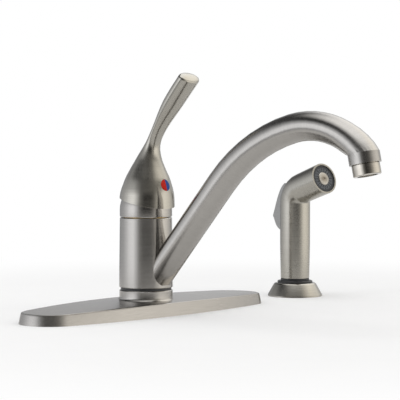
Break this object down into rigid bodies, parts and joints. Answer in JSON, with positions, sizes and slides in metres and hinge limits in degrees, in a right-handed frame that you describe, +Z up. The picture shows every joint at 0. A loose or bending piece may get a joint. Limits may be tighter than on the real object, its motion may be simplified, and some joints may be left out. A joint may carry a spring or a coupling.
{
  "type": "side spray kitchen faucet",
  "caption": "Single-lever kitchen faucet on a long deck plate, with a swivelling arched spout and a trigger side spray that lifts out of its own holder.",
  "frame": {"origin": "on the faucet's vertical axis, on the top surface of the sink deck", "axes": "+X along the deck plate towards the side spray, +Y to the back of the sink, +Z up; the spout and the lever point along -Y, and the spray nozzle 10 degrees from -Y towards -X"},
  "size_m": [0.3668, 0.2756, 0.3205],
  "materials": {
    "brushed_finish": "brushed stainless, satin",
    "polished_finish": "bright metal",
    "brass": "machined",
    "copper": "drawn copper tube",
    "steel": "plain stainless",
    "seal_rubber": "moulded",
    "black_plastic": "moulded",
    "white_plastic": "moulded",
    "face_plastic": "soft-touch rubbery",
    "ceramic": "lapped ceramic",
    "button_enamel": "red half and blue half"
  },
  "bodies": {
    "base": {"deck_plate": "brushed_finish", "base_gasket": "seal_rubber", "mounting_stud_left": "steel", "mounting_stud_right": "steel", "stud_washer_left": "steel", "stud_washer_right": "steel", "wing_nut_left": "brass", "wing_nut_right": "brass", "body_screw_left": "steel", "body_screw_right": "steel", "faucet_body": "brass", "spout_glide_ring": "black_plastic", "spray_outlet_nipple": "brass", "spout_oring_lower": "seal_rubber", "spout_oring_upper": "seal_rubber", "hot_inlet_tube": "copper", "hot_inlet_fitting": "brass", "cold_inlet_tube": "copper", "cold_inlet_fitting": "brass", "cartridge_seal": "seal_rubber", "cartridge_housing": "white_plastic", "fixed_ceramic_disc": "ceramic", "cartridge_retaining_nut": "brass", "bonnet_cap": "brushed_finish", "spray_flange": "brushed_finish", "spray_guide": "black_plastic", "spray_gasket": "seal_rubber", "spray_guide_nut": "black_plastic"},
    "spout_arm": {"spout": "brushed_finish", "aerator_washer": "seal_rubber", "aerator_housing": "polished_finish", "aerator_insert": "white_plastic"},
    "mixer": {"cartridge_turret": "white_plastic", "stem_pin": "steel"},
    "lever": {"handle": "brushed_finish", "handle_set_screw": "steel", "index_button": "button_enamel", "lever_stem": "steel"},
    "disc": {"moving_ceramic_disc": "ceramic"},
    "diverter": {"diverter_valve": "white_plastic"},
    "sprayer": {"spray_shell": "brushed_finish", "spray_face": "face_plastic", "spray_face_disc": "polished_finish", "trigger_pin": "steel", "spray_core": "white_plastic", "spray_valve_spring": "steel", "spray_hose_coupling": "black_plastic"},
    "trigger": {"spray_trigger": "brushed_finish"},
    "spray_valve": {"spray_valve_stem": "white_plastic"}
  },
  "joints": [
    {"name": "spout_swivel", "type": "hinge", "parent": "base", "child": "spout_arm", "pos_m": [0, 0, 0.03], "axis": [0, 0, 1], "range_deg": [-60, 60]},
    {"name": "handle_turn", "type": "hinge", "parent": "base", "child": "mixer", "pos_m": [0, 0, 0.087], "axis": [0, 0, 1], "range_deg": [-45, 45]},
    {"name": "handle_lift", "type": "hinge", "parent": "mixer", "child": "lever", "pos_m": [0, 0, 0.087], "axis": [-1, 0, 0], "range_deg": [0, 25]},
    {"name": "disc_slide", "type": "slide", "parent": "mixer", "child": "disc", "axis": [0, -1, 0], "range_m": [0, 0.0055]},
    {"name": "diverter_shift", "type": "slide", "parent": "base", "child": "diverter", "axis": [0, -1, 0], "range_m": [0, 0.002]},
    {"name": "sprayer_lift", "type": "slide", "parent": "base", "child": "sprayer", "axis": [0, 0, 1], "range_m": [0, 0.1]},
    {"name": "trigger_press", "type": "hinge", "parent": "sprayer", "child": "trigger", "pos_m": [0.2041, 0.00512, 0.0968], "axis": [-0.9848, 0.1736, 0], "range_deg": [0, 6], "stiffness_Nm_per_rad": 0.5, "springref_deg": -5.73},
    {"name": "valve_push", "type": "slide", "parent": "sprayer", "child": "spray_valve", "axis": [-0.1736, -0.9848, 0], "range_m": [0, 0.0018]}
  ],
  "couplings": [
    {"joint": "disc_slide", "follows": "handle_lift", "m_per_rad": 0.012591},
    {"joint": "valve_push", "follows": "trigger_press", "m_per_rad": 0.017}
  ]
}
